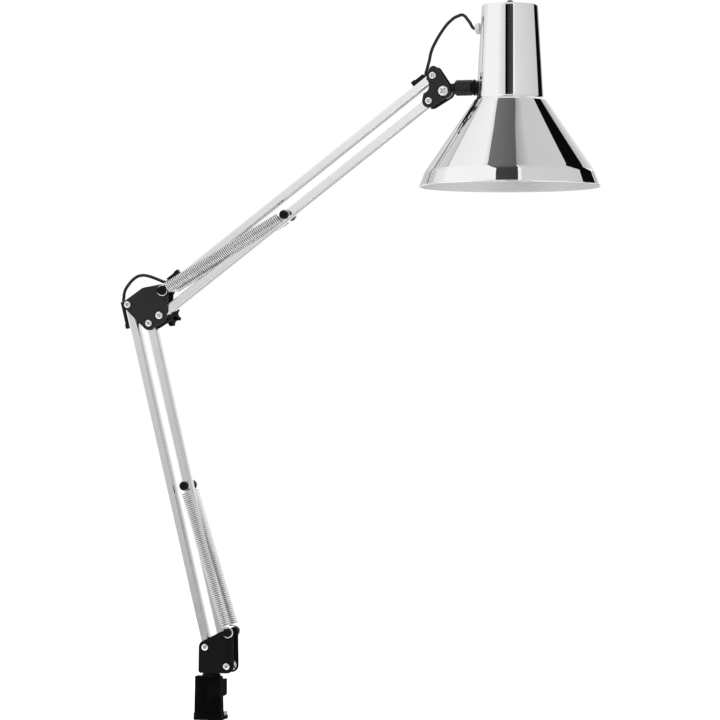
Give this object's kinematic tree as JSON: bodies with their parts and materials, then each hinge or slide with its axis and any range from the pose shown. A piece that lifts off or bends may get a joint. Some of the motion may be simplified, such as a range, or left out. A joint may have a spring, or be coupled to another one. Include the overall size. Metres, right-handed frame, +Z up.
{
  "type": "sprung arm desk lamp",
  "caption": "Clamp-on architect lamp: parallel-bar arms kept level by tension springs, with a tilting, turning metal cone shade and a push switch.",
  "frame": {"origin": "underside of the clamp's upper jaw pad, on the axis that the lamp swivels about", "axes": "+Z up; +X along the arms towards the shade in the pose of the picture; +Y from the front of the lamp to its back"},
  "size_m": [0.5286, 0.1924, 0.7922],
  "materials": {
    "clamp_black": "satin black powder coat",
    "bracket_black": "satin black",
    "plate_black": "satin dark grey",
    "chrome_bar": "bright chrome plate",
    "shade_chrome": "mirror finish outside, satin inside",
    "screw_chrome": "bright plate",
    "steel": "turned",
    "zinc": "zinc plated",
    "spring_steel": "bright drawn wire",
    "moulded_black": "fine moulded texture",
    "cord_black": "satin sheath",
    "rubber": "matte",
    "nylon": "natural",
    "brass": "turned",
    "bushing_grey": "smoky translucent",
    "bulb_cap": "rolled thread",
    "bulb_glass": "frosted"
  },
  "bodies": {
    "clamp": {"clamp_body": "clamp_black", "swivel_bush": "nylon", "jaw_pad": "rubber"},
    "clamp_plate": {"pressure_plate": "zinc"},
    "clamp_screw": {"clamp_screw": "zinc", "clamp_handle": "moulded_black"},
    "base": {"base_bracket": "bracket_black", "base_spigot": "bracket_black", "base_sleeves": "steel", "base_screws": "screw_chrome", "base_nuts": "screw_chrome", "base_washers": "nylon", "base_spring_studs": "bracket_black"},
    "lower_arm": {"lower_left_bar": "chrome_bar", "lower_cord_guide": "moulded_black", "cord_inlet_bush": "rubber", "lower_cord": "cord_black"},
    "lower_link": {"lower_right_bar": "chrome_bar", "lower_spring_pin": "bracket_black", "lower_front_spring": "spring_steel", "lower_rear_spring": "spring_steel"},
    "elbow": {"elbow_front_plate": "plate_black", "elbow_rear_plate": "plate_black", "elbow_sleeves": "steel", "elbow_screws": "screw_chrome", "elbow_nuts": "screw_chrome", "elbow_washers": "nylon", "elbow_spring_pin": "bracket_black", "elbow_bolt": "screw_chrome", "elbow_cord_loop": "cord_black"},
    "elbow_knob": {"elbow_knob": "moulded_black", "knob_insert": "brass"},
    "upper_link": {"upper_top_bar": "chrome_bar", "upper_cord_guides": "moulded_black", "upper_cord": "cord_black"},
    "upper_arm": {"upper_bottom_bar": "chrome_bar", "upper_spring_pin": "bracket_black", "upper_front_spring": "spring_steel", "upper_rear_spring": "spring_steel"},
    "head": {"head_front_plate": "plate_black", "head_rear_plate": "plate_black", "head_sleeves": "steel", "head_screws": "screw_chrome", "head_nuts": "screw_chrome", "head_washers": "nylon", "head_pivot_screw": "screw_chrome", "head_cord_loop": "cord_black"},
    "knuckle": {"knuckle": "moulded_black"},
    "shade": {"shade": "shade_chrome", "swivel_stud": "bracket_black", "shade_saddle": "moulded_black", "cord_bushing": "bushing_grey", "shade_cord": "cord_black", "holder_strap": "zinc", "lampholder": "moulded_black", "shade_nuts": "screw_chrome", "bulb_cap": "bulb_cap", "bulb_glass": "bulb_glass", "switch_body": "moulded_black"},
    "switch_button": {"switch_button": "moulded_black"}
  },
  "joints": [
    {"name": "base_swivel", "type": "hinge", "parent": "clamp", "child": "base", "pos_m": [0, 0, 0.012], "axis": [0, 0, 1], "continuous": true},
    {"name": "lower_arm_tilt", "type": "hinge", "parent": "base", "child": "lower_arm", "pos_m": [-0.004, 0, 0.0533], "axis": [0, 1, 0], "range_deg": [-18, 73]},
    {"name": "lower_link_tilt", "type": "hinge", "parent": "base", "child": "lower_link", "pos_m": [0.0202, 0, 0.033], "axis": [0, 1, 0], "range_deg": [-18, 73], "deforming": ["lower_front_spring", "lower_rear_spring"]},
    {"name": "elbow_level", "type": "hinge", "parent": "lower_arm", "child": "elbow", "pos_m": [-0.09206, 0, 0.42296], "axis": [0, 1, 0], "range_deg": [-73, 18], "deforming": ["elbow_cord_loop"]},
    {"name": "elbow_knob_turn", "type": "hinge", "parent": "elbow", "child": "elbow_knob", "pos_m": [-0.05586, 0, 0.41115], "axis": [0, 1, 0], "continuous": true},
    {"name": "upper_arm_tilt", "type": "hinge", "parent": "elbow", "child": "upper_arm", "pos_m": [-0.05586, 0, 0.41115], "axis": [0, 1, 0], "range_deg": [-21, 57], "deforming": ["upper_front_spring", "upper_rear_spring"]},
    {"name": "upper_link_tilt", "type": "hinge", "parent": "elbow", "child": "upper_link", "pos_m": [-0.05146, 0, 0.43785], "axis": [0, 1, 0], "range_deg": [-21, 57]},
    {"name": "head_level", "type": "hinge", "parent": "upper_arm", "child": "head", "pos_m": [0.24402, 0, 0.63631], "axis": [0, 1, 0], "range_deg": [-57, 21]},
    {"name": "head_tilt", "type": "hinge", "parent": "head", "child": "knuckle", "pos_m": [0.25992, 0, 0.64641], "axis": [0, 1, 0], "range_deg": [-50, 30], "deforming": ["head_cord_loop"]},
    {"name": "shade_turn", "type": "hinge", "parent": "knuckle", "child": "shade", "pos_m": [0.27992, 0, 0.65001], "axis": [1, 0, 0], "range_deg": [-80, 80]},
    {"name": "switch_press", "type": "slide", "parent": "shade", "child": "switch_button", "axis": [0, 0, -1], "range_m": [0, 0.0025], "stiffness_N_per_m": 300},
    {"name": "clamp_feed", "type": "slide", "parent": "clamp", "child": "clamp_plate", "axis": [0, 0, 1], "range_m": [0, 0.014]},
    {"name": "clamp_screw_turn", "type": "hinge", "parent": "clamp_plate", "child": "clamp_screw", "pos_m": [0, 0.0045, -0.03], "axis": [0, 0, 1], "range_deg": [0, 4033]}
  ],
  "couplings": [
    {"joint": "lower_link_tilt", "follows": "lower_arm_tilt", "ratio": 1},
    {"joint": "elbow_level", "follows": "lower_arm_tilt", "ratio": -1},
    {"joint": "upper_link_tilt", "follows": "upper_arm_tilt", "ratio": 1},
    {"joint": "head_level", "follows": "upper_arm_tilt", "ratio": -1},
    {"joint": "clamp_screw_turn", "follows": "clamp_feed", "rad_per_m": 5026.5}
  ]
}
